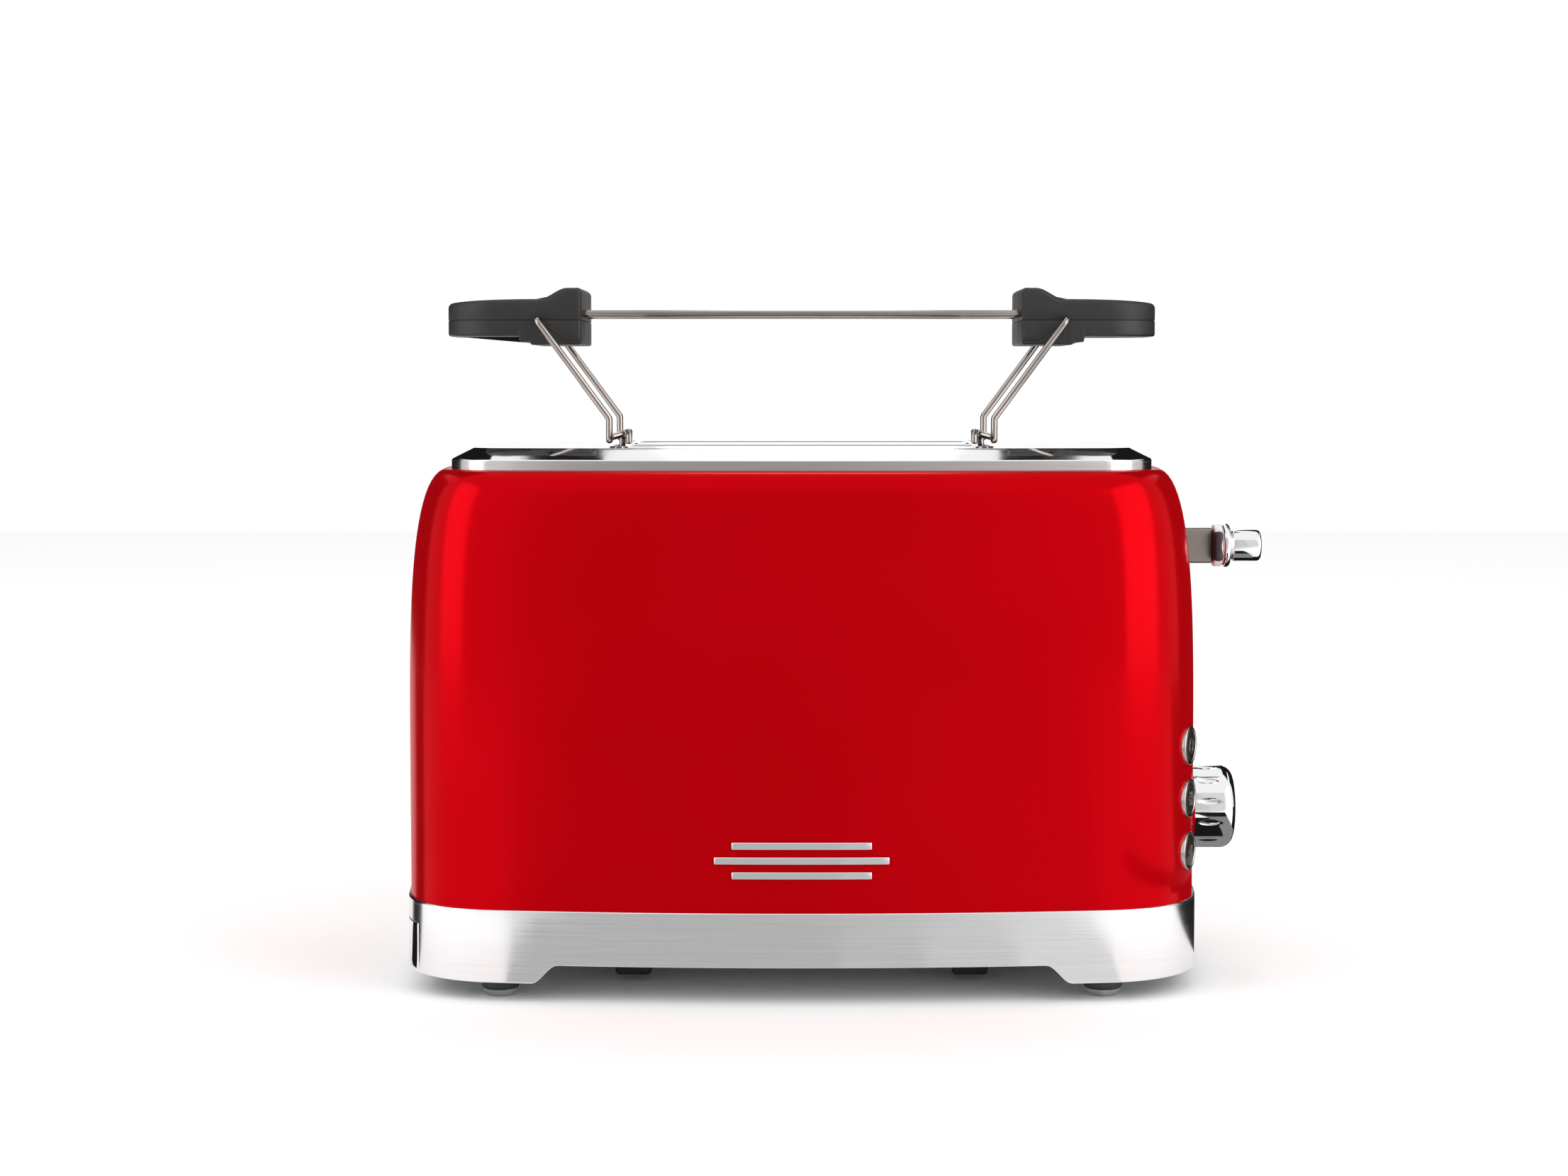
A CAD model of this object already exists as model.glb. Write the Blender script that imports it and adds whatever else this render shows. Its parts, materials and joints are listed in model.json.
# %% [markdown]
# # A two-slot toaster with a bun rack
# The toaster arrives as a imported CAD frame: every sheet, screw and wire is already in its
# place, at its real size. This lesson dresses that frame. The visible pieces are modelled
# again with the soft edges, lips and folds that pressing, turning and moulding leave, and
# each surface gets a finish made of shader nodes. Nothing is moved or resized.

# %% Load the frame
import json
from math import acos, asin, atan2, cos, hypot, pi, radians, sin, sqrt, tan

import bmesh
import bpy
from mathutils import Matrix, Vector


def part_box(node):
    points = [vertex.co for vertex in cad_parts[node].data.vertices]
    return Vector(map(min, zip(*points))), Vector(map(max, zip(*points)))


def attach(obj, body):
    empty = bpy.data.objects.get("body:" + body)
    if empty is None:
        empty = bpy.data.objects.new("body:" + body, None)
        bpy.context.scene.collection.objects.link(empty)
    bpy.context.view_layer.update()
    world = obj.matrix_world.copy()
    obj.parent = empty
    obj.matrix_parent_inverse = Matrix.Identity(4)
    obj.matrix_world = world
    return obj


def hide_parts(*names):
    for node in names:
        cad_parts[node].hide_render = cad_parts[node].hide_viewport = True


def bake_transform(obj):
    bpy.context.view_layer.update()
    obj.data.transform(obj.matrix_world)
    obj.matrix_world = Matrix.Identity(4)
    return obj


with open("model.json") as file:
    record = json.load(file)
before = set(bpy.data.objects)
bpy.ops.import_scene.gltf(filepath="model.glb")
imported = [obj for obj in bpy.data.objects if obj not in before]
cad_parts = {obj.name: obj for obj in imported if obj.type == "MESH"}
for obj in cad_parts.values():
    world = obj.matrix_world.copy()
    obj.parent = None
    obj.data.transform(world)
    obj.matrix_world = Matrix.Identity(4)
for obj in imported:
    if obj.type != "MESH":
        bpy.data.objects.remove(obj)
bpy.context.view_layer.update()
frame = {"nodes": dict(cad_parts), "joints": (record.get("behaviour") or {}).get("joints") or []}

# %% [markdown]
# ## Measures
# Everything is in metres, so a named millimetre keeps the sizes readable. The body stands a
# little to the left of the origin, because the lever reaches out to the right. Its plan is
# not a box: the front, the back and both ends bulge gently, and four round corners join
# them, each arc running into the next without a kink. The centre of a corner arc therefore
# lies where two circles, one parallel to the side and one parallel to the end, meet.

# %% Plan of the body
MM = 0.001
ring_low, ring_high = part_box("base_ring")
body_x = (ring_low.x + ring_high.x) / 2
half_len = (ring_high.x - ring_low.x) / 2
half_depth = (ring_high.y - ring_low.y) / 2
side_r = 840 * MM
end_r = 420 * MM
corner_r = 38 * MM
side_c = half_depth - side_r
end_c = half_len - end_r
centre_gap = hypot(end_c, side_c)
along = ((side_r - corner_r) ** 2 - (end_r - corner_r) ** 2 + centre_gap**2) / 2 / centre_gap
across = sqrt((side_r - corner_r) ** 2 - along**2)
corner_x = (along * end_c - across * side_c) / centre_gap
corner_y = side_c - (along * side_c + across * end_c) / centre_gap
print("corner arcs are centred", round(corner_x / MM, 1), round(corner_y / MM, 1), "mm out")


# %% Stations round the plan
def steps_between(start, end, pitch):
    """Even steps from start up to, but not on, end."""
    count = max(1, round(abs(end - start) / pitch))
    return [start + (end - start) * i / count for i in range(count)]


arch_half = 84 * MM
arch_end = 93 * MM
side_stops = (
    steps_between(-corner_x, -arch_end, 3 * MM)
    + steps_between(-arch_end, -arch_half, 1 * MM)
    + steps_between(-arch_half, arch_half, 7 * MM)
    + steps_between(arch_half, arch_end, 1 * MM)
    + steps_between(arch_end, corner_x, 3 * MM)
)
end_stops = steps_between(-corner_y, corner_y, 4.5 * MM)
corner_steps = 14
end_a = atan2(corner_y, corner_x - end_c)
side_a = atan2(corner_y - side_c, corner_x)


def plan_stations():
    """Each station on the plan: the centre of its arc, the arc's radius and the angle."""
    found = []
    for turn in (0, pi):
        flip = cos(turn)
        found += [(flip * end_c, 0, end_r, turn + asin(y / end_r)) for y in end_stops]
        for i in range(corner_steps):
            angle = end_a + (side_a - end_a) * i / corner_steps
            found.append((flip * corner_x, flip * corner_y, corner_r, turn + angle))
        found += [(0, flip * side_c, side_r, turn + acos(-x / side_r)) for x in side_stops]
        for i in range(corner_steps):
            angle = pi - side_a + (side_a - end_a) * i / corner_steps
            found.append((-flip * corner_x, flip * corner_y, corner_r, turn + angle))
    return found


STATIONS = plan_stations()


def outline(inset, z=0.0):
    """Points of the plan, moved in by inset, at height z."""
    return [
        Vector((body_x + x + (r - inset) * cos(a), y + (r - inset) * sin(a), z))
        for x, y, r, a in STATIONS
    ]


print("the plan has", len(STATIONS), "stations")

# %% [markdown]
# ## Tools of the bench
# Most pieces here are skins through rings: a circle laid on a first ring and extruded to
# the next one, again and again. A pressed shell, a turned knob and a bent wire differ only
# in where their rings lie. Each vertex carries its number round the ring, and an extruded
# copy keeps it, so a new ring can be put in its place whatever order Blender stores it in.


# %% Skins through rings
def let_go():
    """Object mode, with nothing selected."""
    if bpy.context.object and bpy.context.object.mode == "EDIT":
        bpy.ops.object.mode_set(mode="OBJECT")
    bpy.ops.object.select_all(action="DESELECT")


def work_on(piece):
    """Selects one piece alone and makes it the active one."""
    let_go()
    piece.select_set(True)
    bpy.context.view_layer.objects.active = piece


def close_rims(piece):
    """Puts a face on every open rim, one rim at a time."""
    while True:
        bpy.ops.mesh.select_all(action="DESELECT")
        skin = bmesh.from_edit_mesh(piece.data)
        rim = next((e for e in skin.edges if e.is_boundary), None)
        if rim is None:
            return
        rim.select_set(True)
        bpy.ops.mesh.loop_multi_select(ring=False)
        bpy.ops.mesh.edge_face_add()


def draw_wall(name, rings, ends="open"):
    """A skin through rings of points, with its ends open, capped, or joined to each other."""
    let_go()
    bpy.ops.mesh.primitive_circle_add(vertices=len(rings[0]), radius=half_len)
    piece = bpy.context.object
    piece.name = piece.data.name = name
    bpy.ops.object.mode_set(mode="EDIT")
    bpy.ops.mesh.select_mode(type="VERT")
    skin = bmesh.from_edit_mesh(piece.data)
    number = skin.verts.layers.int.new("number")
    for i, vertex in enumerate(skin.verts):
        vertex[number] = i
        vertex.co = rings[0][i]
    piece.location = (0, 0, 0)
    for ring in rings[1:] + (rings[:1] if ends == "joined" else []):
        bpy.ops.mesh.extrude_region_move()
        skin = bmesh.from_edit_mesh(piece.data)
        number = skin.verts.layers.int["number"]
        for vertex in skin.verts:
            if vertex.select:
                vertex.co = ring[vertex[number]]
    bpy.ops.mesh.select_all(action="SELECT")
    bpy.ops.mesh.remove_doubles(threshold=0.001 * MM)
    bpy.ops.mesh.dissolve_degenerate(threshold=0.0005 * MM)
    if ends == "capped":
        close_rims(piece)
    bpy.ops.mesh.select_all(action="SELECT")
    bpy.ops.mesh.normals_make_consistent(inside=False)
    bpy.ops.object.mode_set(mode="OBJECT")
    return piece


# %% Rounding a line, turning a profile, bending a wire
def round_corners(points, radius, steps=4):
    """The same line with each inner corner turned into an arc."""
    line = [Vector(p) for p in points]
    rounded = [line[0]]
    for before, corner, after in zip(line, line[1:], line[2:]):
        back = before - corner
        on = after - corner
        half = back.angle(on) / 2
        reach = min(radius / tan(half), 0.49 * back.length, 0.49 * on.length)
        start = back.normalized() * reach
        end = on.normalized() * reach
        centre = (start + end).normalized() * (reach / cos(half))
        first = start - centre
        last = end - centre
        swing = first.angle(last)
        square = (last - first * cos(swing)) / sin(swing)
        for i in range(steps + 1):
            a = swing * i / steps
            rounded.append(corner + centre + first * cos(a) + square * sin(a))
    return rounded + [line[-1]]


def turned(name, profile, place, sides=64, ends="capped"):
    """A piece turned on a lathe: each (radius, height) of the profile is a ring."""
    rings = [
        [
            place @ Vector((r * cos(2 * pi * i / sides), r * sin(2 * pi * i / sides), h))
            for i in range(sides)
        ]
        for r, h in profile
    ]
    return draw_wall(name, rings, ends)


def wire_rings(path, radius, sides=14):
    """Rings square to a path, with round ends, carried along without twist."""
    points = [Vector(p) for p in path]
    ahead = [(b - a).normalized() for a, b in zip(points, points[1:])]
    ways = [ahead[0]] + [(a + b).normalized() for a, b in zip(ahead, ahead[1:])] + [ahead[-1]]
    side = ways[0].orthogonal().normalized()
    rings = []
    for i, (point, way) in enumerate(zip(points, ways)):
        side = (side - way * side.dot(way)).normalized()
        third = way.cross(side)
        spokes = [side * cos(2 * pi * k / sides) + third * sin(2 * pi * k / sides) for k in range(sides)]
        if i == 0:
            for tilt in (1.35, 1.0, 0.5):
                rings.append([point - way * radius * sin(tilt) + s * radius * cos(tilt) for s in spokes])
        rings.append([point + s * radius for s in spokes])
        if i == len(points) - 1:
            for tilt in (0.5, 1.0, 1.35):
                rings.append([point + way * radius * sin(tilt) + s * radius * cos(tilt) for s in spokes])
    return rings


def pointing(where, way):
    """A place whose own +Z looks along way."""
    return Matrix.Translation(where) @ way.to_track_quat("Z", "Y").to_matrix().to_4x4()


print("bench is ready")


# %% Cutting, bevelling, joining
def apply_all(piece):
    """Applies the piece's modifiers, in order."""
    work_on(piece)
    for modifier in list(piece.modifiers):
        bpy.ops.object.modifier_apply(modifier=modifier.name)


def cut(piece, tool, operation="DIFFERENCE"):
    """Cuts a piece with a tool, which is used up."""
    modifier = piece.modifiers.new("cut", "BOOLEAN")
    modifier.operation = operation
    modifier.solver = "EXACT"
    modifier.object = tool
    apply_all(piece)
    bpy.data.objects.remove(tool)
    return piece


def soften(piece, width, segments=3, angle=35):
    """Rounds the sharp edges."""
    modifier = piece.modifiers.new("soften", "BEVEL")
    modifier.width = width
    modifier.segments = segments
    modifier.angle_limit = radians(angle)
    modifier.limit_method = "ANGLE"
    modifier.harden_normals = False
    apply_all(piece)
    return piece


def block(name, low, high):
    """A plain block between two corners, as a start for more work."""
    let_go()
    low, high = Vector(low), Vector(high)
    bpy.ops.mesh.primitive_cube_add(size=1, location=(low + high) / 2, scale=high - low)
    piece = bpy.context.object
    piece.name = piece.data.name = name
    bpy.ops.object.transform_apply(location=True, rotation=True, scale=True)
    return piece


def join(name, pieces):
    """Makes one piece of several."""
    let_go()
    for piece in pieces:
        piece.select_set(True)
    bpy.context.view_layer.objects.active = pieces[0]
    bpy.ops.object.join()
    pieces[0].name = pieces[0].data.name = name
    return pieces[0]


def copy_of(piece, name, move):
    """A copy with its own mesh, put in place by a matrix, and turned right side out."""
    twin = piece.copy()
    twin.data = piece.data.copy()
    twin.data.transform(move)
    if move.determinant() < 0:
        twin.data.flip_normals()
    twin.name = twin.data.name = name
    bpy.context.scene.collection.objects.link(twin)
    return twin


def settle(piece, body, finish, slot, *nodes, angle=32):
    """Shades a finished piece, gives it its finish and fixes it to its body."""
    work_on(piece)
    bpy.ops.object.shade_smooth_by_angle(angle=radians(angle))
    if "number" in piece.data.attributes:
        piece.data.attributes.remove(piece.data.attributes["number"])
    piece.data.materials.clear()
    piece.data.materials.append(finish)
    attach(piece, body)
    if nodes:
        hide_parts(*nodes)
    print(piece.name, "rides on", body, "with", len(piece.data.polygons), "faces")
    return piece

# %% [markdown]
# ## Finishes
# A finish is a Principled shader whose colour, roughness and relief are driven by patterns
# on Object coordinates, so a pattern keeps its real scale and stays put when a piece moves.
# A noise scale of 400 gives marks about 2.5 mm across. Stretching the coordinates turns
# dots into brush lines. What is the same all over is set on the shader's own sockets.


# %% Building blocks of a finish
def new_finish(name, color, metallic=0.0, roughness=0.4, **sockets):
    """A Principled finish, and the tree that it is made of."""
    finish = bpy.data.materials.new(name)
    finish.use_nodes = True
    finish.diffuse_color = (*color, 1)
    shader = finish.node_tree.nodes["Principled BSDF"]
    shader.inputs["Base Color"].default_value = (*color, 1)
    shader.inputs["Metallic"].default_value = metallic
    shader.inputs["Roughness"].default_value = roughness
    for socket, value in sockets.items():
        shader.inputs[socket.replace("_", " ")].default_value = value
    return finish


def grain(finish, scale, stretch=(1, 1, 1), detail=3.0, kind="Noise"):
    """A pattern fixed to the object; a larger stretch packs it tighter along that axis."""
    nodes, links = finish.node_tree.nodes, finish.node_tree.links
    where = nodes.new("ShaderNodeTexCoord")
    fit = nodes.new("ShaderNodeMapping")
    pattern = nodes.new("ShaderNodeTex" + kind)
    fit.inputs["Scale"].default_value = stretch
    pattern.inputs["Scale"].default_value = scale
    if kind == "Noise":
        pattern.inputs["Detail"].default_value = detail
    links.new(where.outputs["Object"], fit.inputs["Vector"])
    links.new(fit.outputs["Vector"], pattern.inputs["Vector"])
    return pattern.outputs["Distance" if kind == "Voronoi" else "Fac"]


def drive_roughness(finish, pattern, low, high):
    """Lets a pattern vary the roughness between two values."""
    nodes, links = finish.node_tree.nodes, finish.node_tree.links
    spread = nodes.new("ShaderNodeMapRange")
    spread.inputs["From Min"].default_value = 0.3
    spread.inputs["From Max"].default_value = 0.7
    spread.inputs["To Min"].default_value = low
    spread.inputs["To Max"].default_value = high
    links.new(pattern, spread.inputs["Value"])
    links.new(spread.outputs["Result"], nodes["Principled BSDF"].inputs["Roughness"])


def drive_color(finish, pattern, stops):
    """Lets a pattern pick the colour from a ramp of (place, colour) stops."""
    nodes, links = finish.node_tree.nodes, finish.node_tree.links
    ramp = nodes.new("ShaderNodeValToRGB")
    for i, (place, color) in enumerate(stops):
        stop = ramp.color_ramp.elements[i] if i < 2 else ramp.color_ramp.elements.new(place)
        stop.position = place
        stop.color = (*color, 1)
    links.new(pattern, ramp.inputs["Fac"])
    links.new(ramp.outputs["Color"], nodes["Principled BSDF"].inputs["Base Color"])


def drive_relief(finish, pattern, depth):
    """Raises and lowers the surface by a pattern, depth metres in all."""
    nodes, links = finish.node_tree.nodes, finish.node_tree.links
    bump = nodes.new("ShaderNodeBump")
    bump.inputs["Distance"].default_value = depth
    links.new(pattern, bump.inputs["Height"])
    links.new(bump.outputs["Normal"], nodes["Principled BSDF"].inputs["Normal"])


# %% [markdown]
# ### Lacquer, chrome and brushed steel
# The shell is sprayed with a candy red: a coloured, half metallic base under a clear coat.
# The base gives the deep even red, the coat the crisp pale rim where the surface turns
# away. A faint orange-peel relief keeps reflections from looking computer-made.


# %% Red lacquer
def red_lacquer():
    finish = new_finish(
        "red_lacquer", (0.48, 0.0006, 0.0035), 0.45, 0.2, Coat_Weight=0.02, Coat_Roughness=0.02
    )
    finish.node_tree.nodes["Principled BSDF"].inputs["Specular IOR Level"].default_value = 0.0
    drive_color(
        finish, grain(finish, 14, detail=2), [(0.3, (0.465, 0.0004, 0.003)), (0.7, (0.495, 0.0006, 0.004))]
    )
    drive_roughness(finish, grain(finish, 900, detail=1), 0.17, 0.22)
    drive_relief(finish, grain(finish, 420, detail=2), 0.004 * MM)
    return finish


def polished_chrome():
    finish = new_finish("polished_chrome", (0.88, 0.885, 0.89), 1.0, 0.05)
    drive_roughness(finish, grain(finish, 60, (1, 1, 3), 6), 0.03, 0.085)
    drive_relief(finish, grain(finish, 90, detail=2), 0.003 * MM)
    return finish


def brushed(name, color, scale, stretch, low, high, depth, darkest=0.9):
    """Metal with fine lines along the axis that is not stretched."""
    finish = new_finish(name, color, 1.0, (low + high) / 2)
    lines = grain(finish, scale, stretch, 5)
    tone = [tuple(c * share for c in color) for share in (darkest, 1.04)]
    drive_color(finish, lines, [(0.3, tone[0]), (0.7, tone[1])])
    drive_roughness(finish, lines, low, high)
    drive_relief(finish, lines, depth)
    return finish


LACQUER = red_lacquer()
CHROME = polished_chrome()
SATIN = brushed("satin_ring", (0.86, 0.86, 0.865), 60, (0.5, 0.5, 40), 0.14, 0.2, 0.001 * MM, 0.96)
RIM_BAND = brushed("brushed_rim", (0.58, 0.535, 0.52), 60, (0.5, 0.5, 60), 0.16, 0.24, 0.002 * MM, 0.94)
LEVER_STEEL = brushed("brushed_lever", (0.24, 0.21, 0.19), 90, (0.6, 8, 30), 0.3, 0.42, 0.004 * MM)
SHEET_STEEL = brushed("inner_steel", (0.56, 0.565, 0.57), 50, (1, 1, 24), 0.28, 0.45, 0.01 * MM)
WIRE_STEEL = brushed("rack_wire_steel", (0.37, 0.325, 0.30), 120, (1, 1, 1), 0.1, 0.2, 0.003 * MM)
GUARD_STEEL = brushed("guard_wire", (0.46, 0.43, 0.38), 90, (1, 1, 1), 0.25, 0.45, 0.01 * MM)
print("metals are mixed")

# %% [markdown]
# ### Plastics, rubber and the materials inside
# Moulded grips carry a spark-eroded texture: tiny rounded grains a third of a millimetre
# apart. Mica is layered and flecked, zinc sheet shows large crystals, and a heating ribbon
# is dulled by its oxide. These are seen only through the slots, but they are what a person
# sees who looks in.


# %% Plastics
def moulded(name, color, roughness, grain_scale, depth):
    """A moulded plastic with a rounded grain and a slightly uneven sheen."""
    finish = new_finish(name, color, 0.0, roughness)
    drive_relief(finish, grain(finish, grain_scale, kind="Voronoi"), depth)
    drive_roughness(finish, grain(finish, 70, detail=4), roughness - 0.06, roughness + 0.08)
    tone = [tuple(c * share for c in color) for share in (0.8, 1.25)]
    drive_color(finish, grain(finish, 160, detail=5), [(0.3, tone[0]), (0.7, tone[1])])
    return finish


GRIP = moulded("textured_grip", (0.011, 0.0098, 0.009), 0.5, 2600, 0.05 * MM)
BLACK = moulded("black_plastic", (0.02, 0.02, 0.022), 0.42, 3000, 0.02 * MM)
PALE = moulded("grey_plastic", (0.72, 0.72, 0.71), 0.35, 2600, 0.01 * MM)
RUBBER = moulded("grey_rubber", (0.26, 0.265, 0.27), 0.7, 1800, 0.03 * MM)


def smoked_button():
    finish = new_finish("smoked_button", (0.05, 0.036, 0.03), 0.5, 0.22, Coat_Weight=0.8, Coat_Roughness=0.05)
    rings = grain(finish, 260, detail=4)
    drive_color(finish, rings, [(0.3, (0.045, 0.031, 0.026)), (0.7, (0.065, 0.048, 0.04))])
    drive_roughness(finish, rings, 0.18, 0.3)
    return finish


def zinc_sheet():
    finish = new_finish("zinc_sheet", (0.5, 0.51, 0.52), 1.0, 0.4)
    crystals = grain(finish, 110, kind="Voronoi")
    drive_color(finish, crystals, [(0.1, (0.58, 0.59, 0.6)), (0.9, (0.42, 0.43, 0.45))])
    drive_roughness(finish, crystals, 0.5, 0.34)
    return finish


def mica_sheet():
    finish = new_finish("mica", (0.62, 0.54, 0.42), 0.0, 0.35, Coat_Weight=0.4, Coat_Roughness=0.2)
    layers = grain(finish, 60, (1, 1, 2.5), 7)
    drive_color(
        finish, layers, [(0.3, (0.34, 0.27, 0.18)), (0.55, (0.6, 0.52, 0.4)), (0.75, (0.74, 0.68, 0.56))]
    )
    drive_relief(finish, layers, 0.08 * MM)
    return finish


def heating_ribbon():
    finish = new_finish("heating_ribbon", (0.22, 0.18, 0.155), 0.9, 0.45)
    oxide = grain(finish, 220, (0.4, 1, 1), 4)
    drive_color(finish, oxide, [(0.35, (0.13, 0.1, 0.09)), (0.7, (0.32, 0.27, 0.23))])
    drive_roughness(finish, oxide, 0.38, 0.6)
    return finish


def copper_winding():
    finish = new_finish("copper_coil", (0.62, 0.25, 0.10), 0.85, 0.25, Coat_Weight=0.5)
    turns = grain(finish, 900, (0, 0, 1), kind="Wave")
    finish.node_tree.nodes["Mapping"].inputs["Rotation"].default_value = (0, pi / 2, 0)
    drive_relief(finish, turns, 0.2 * MM)
    drive_color(finish, grain(finish, 200), [(0.3, (0.5, 0.18, 0.06)), (0.7, (0.7, 0.3, 0.13))])
    return finish


def circuit_board():
    finish = new_finish("circuit_board", (0.02, 0.14, 0.05), 0.0, 0.3, Coat_Weight=0.5)
    tracks = grain(finish, 170, (1, 1, 1), kind="Voronoi")
    drive_color(finish, tracks, [(0.12, (0.05, 0.24, 0.10)), (0.2, (0.012, 0.11, 0.04))])
    drive_relief(finish, tracks, 0.03 * MM)
    return finish


BUTTON = smoked_button()
ICON = brushed("pale_icon", (0.72, 0.69, 0.62), 300, (1, 1, 1), 0.25, 0.35, 0.002 * MM)
ZINC = zinc_sheet()
MICA = mica_sheet()
RIBBON = heating_ribbon()
COIL = copper_winding()
BOARD = circuit_board()
print("finishes:", len(bpy.data.materials))


# %% Dress the nodes that stay as they are
def dress(finish, *nodes):
    """Gives CAD nodes a finish."""
    for node in nodes:
        thing = frame["nodes"][node]
        if not thing.material_slots:
            thing.data.materials.append(finish)
        for place in thing.material_slots:
            place.material = finish


dress(ZINC, "base_plate", "tray_rails", "end_frame_left", "end_frame_right", "board_bracket")
dress(ZINC, "latch_keeper", "magnet_core")
dress(SHEET_STEEL, "reflector_front", "reflector_back", "guide_rods", "carriage_plate", "crumb_tray")
dress(SHEET_STEEL, "bread_lift_front", "bread_lift_back", "dial_shaft", "base_screws")
dress(GUARD_STEEL, "guard_front_outer", "guard_front_inner", "guard_back_inner", "guard_back_outer")
dress(BLACK, "button_switches")
dress(PALE, "pot_body", "terminal_block")
dress(MICA, "element_front", "element_middle", "element_back")
dress(RIBBON, "element_ribbons")
dress(COIL, "magnet_coils")
dress(BOARD, "control_board", "button_board")

# %% [markdown]
# ## The shell
# The shell is one drawn sheet. Its wall stands upright above the ring, then leans in, more
# and more, until it lies flat under the top plate. The wall line is a squashed quarter
# ellipse. Rings follow it from the foot to the opening, Solidify gives the sheet its
# thickness, and the slot and holes are cut through both sides afterwards.

# %% Wall line of the shell
shell_low, shell_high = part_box("body_shell")
foot_z = shell_low.z
shoulder_z = shell_high.z
ring_proud = half_len - (shell_high.x - shell_low.x) / 2
shell_wall = 1.2 * MM
shoulder_w = 14.5 * MM
shoulder_h = 122.5 * MM
opening_inset = 19.5 * MM
lean_steps = 26
lean_bias = 1.6
bow_power = 0.833
rise_power = 0.5


def shell_lean(share):
    """Inset and height of the wall line, from the upright foot at 0 to the shoulder at 1."""
    inset = ring_proud + shoulder_w * (1 - cos(pi / 2 * share) ** bow_power)
    return inset, shoulder_z - shoulder_h * (1 - sin(pi / 2 * share) ** rise_power)


foot_rings = [(ring_proud, z) for z in steps_between(foot_z, shoulder_z - shoulder_h, 7 * MM)]
lean_rings = [shell_lean((i / lean_steps) ** lean_bias) for i in range(lean_steps + 1)]
shell_rings = foot_rings + lean_rings + [(opening_inset, shoulder_z)]
shell = draw_wall("body_shell_drawn", [outline(*ring) for ring in shell_rings])
sheet = shell.modifiers.new("sheet", "SOLIDIFY")
sheet.thickness = shell_wall
sheet.offset = -1
sheet.use_even_offset = True
apply_all(shell)
print("shell wall drawn through", len(shell_rings), "rings")

# %% [markdown]
# The lever runs in an upright slot with round ends. Its cutter is a block whose upright
# edges along X are bevelled to half the slot's width. The dial shaft and the three buttons
# pass through round holes.

# %% Openings of the shell
arm_low, arm_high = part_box("lever_arm")
lever_gap = 0.7 * MM
lever_travel = next(j["range_m"][1] for j in frame["joints"] if j["name"] == "lever_press")
slot_low = Vector((shell_high.x - 20 * MM, arm_low.y - lever_gap, arm_low.z - lever_travel - lever_gap))
slot_high = Vector((shell_high.x + 5 * MM, arm_high.y + lever_gap, arm_high.z + lever_gap))
slot_tool = block("slot_tool", slot_low, slot_high)
work_on(slot_tool)
bpy.ops.object.mode_set(mode="EDIT")
tool_mesh = bmesh.from_edit_mesh(slot_tool.data)
for edge in tool_mesh.edges:
    edge.select_set(abs((edge.verts[0].co - edge.verts[1].co).normalized().x) > 0.99)
bpy.ops.mesh.bevel(offset=(slot_high.y - slot_low.y) * 0.45, segments=6, affect="EDGES")
cut(shell, slot_tool)

dial_low, dial_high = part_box("dial_knob")
dial_z = (dial_low.z + dial_high.z) / 2
shaft_low, shaft_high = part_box("dial_shaft")
shaft_r = (shaft_high.z - shaft_low.z) / 2
TO_RIGHT = Vector((1, 0, 0))
dial_hole = turned(
    "dial_hole",
    [(shaft_r + MM, -12 * MM), (shaft_r + MM, 6 * MM)],
    pointing(Vector((shell_high.x, 0, dial_z)), TO_RIGHT),
    32,
)
cut(shell, dial_hole)

rim_r = 6.8 * MM
button_names = ("cancel", "defrost", "reheat")
button_turn = radians(-24)
BUTTON_WAY = Vector((cos(button_turn), sin(button_turn), 0))
button_spot = Vector((body_x + corner_x, -corner_y, 0)) + BUTTON_WAY * (corner_r - ring_proud)


def button_place(name):
    """Where a button's axis leaves the shell."""
    low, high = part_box(name + "_button")
    return pointing(button_spot + Vector((0, 0, (low.z + high.z) / 2)), BUTTON_WAY)


for button_name in button_names:
    hole = turned("hole", [(rim_r, -6 * MM), (rim_r, 5 * MM)], button_place(button_name), 48)
    cut(shell, hole)
settle(shell, "chassis", LACQUER, "red_lacquer", "body_shell", angle=38)

# %% [markdown]
# ## The base ring
# The ring is a folded strip: an outer wall with a full round lower lip and a ledge at the
# top that carries the shell. Between the feet the lower lip rises in a low arch with soft
# shoulders, front and back. One closed section is carried round the plan, and the points of
# its lower lip ride up with the arch.

# %% Section of the ring
ring_bottom = ring_low.z
ring_top = ring_high.z
ring_wall = 1.6 * MM
ledge_w = 6 * MM
ledge_t = 1.5 * MM
arch_rise = 13 * MM - ring_bottom
section = round_corners(
    [
        (ring_wall / 2, ring_bottom),
        (0, ring_bottom),
        (0, ring_top),
        (ledge_w, ring_top),
        (ledge_w, ring_top - ledge_t),
        (ring_wall, ring_top - ledge_t),
        (ring_wall, ring_bottom),
        (ring_wall / 2, ring_bottom),
    ],
    0.75 * MM,
    5,
)[:-1]


def arch_lift(x):
    """Rise of the lower lip at x: none near the feet, full between the arch's shoulders."""
    share = min(1, max(0, (arch_end - abs(x - body_x)) / (arch_end - arch_half)))
    return arch_rise * share * share * (3 - 2 * share)


def ring_loop(inset, z):
    """One line of the section carried round the plan."""
    follow = 1 if z < (ring_bottom + ring_top) / 2 else 0
    return [p + Vector((0, 0, follow * arch_lift(p.x))) for p in outline(inset, z)]


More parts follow.
